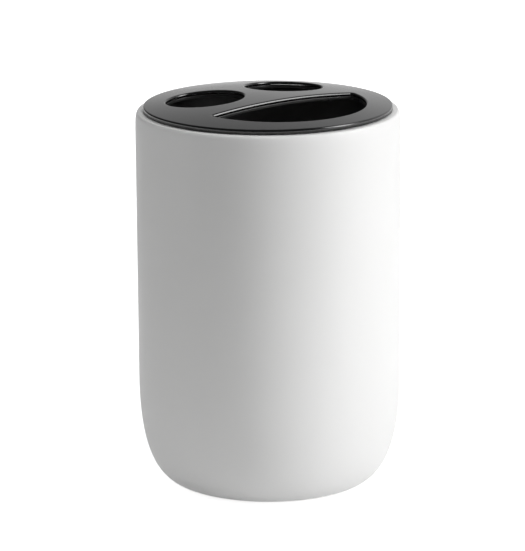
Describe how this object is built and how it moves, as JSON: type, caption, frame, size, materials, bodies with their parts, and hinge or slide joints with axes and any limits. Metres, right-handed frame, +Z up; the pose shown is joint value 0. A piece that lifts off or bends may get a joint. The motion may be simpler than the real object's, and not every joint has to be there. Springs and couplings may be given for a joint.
{
  "type": "toothbrush holder",
  "caption": "Round cup with a soft lower corner and a domed lift-off lid that has round openings and a half-moon opening.",
  "frame": {"origin": "centre of the underside, on the surface that the holder stands on", "axes": "+Z up along the cup's axis; the half-moon opening faces -Y and the round openings lie on the +Y side, left and right in X"},
  "size_m": [0.075, 0.075, 0.1127],
  "materials": {
    "cup_glaze": "matte",
    "pad_foam": "matte",
    "ring_silicone": "matte",
    "cover_satin": "satin",
    "insert_black": "matte"
  },
  "bodies": {
    "cup": {"cup_body": "cup_glaze", "foot_pad": "pad_foam"},
    "ring": {"grip_ring": "ring_silicone"},
    "lid": {"lid_cover": "cover_satin", "lid_insert": "insert_black"}
  },
  "joints": [
    {"name": "lid_lift", "type": "slide", "parent": "cup", "child": "ring", "axis": [0, 0, 1], "range_m": [0, 0.06]},
    {"name": "lid_turn", "type": "hinge", "parent": "ring", "child": "lid", "pos_m": [0, 0, 0.1085], "axis": [0, 0, 1], "continuous": true}
  ]
}
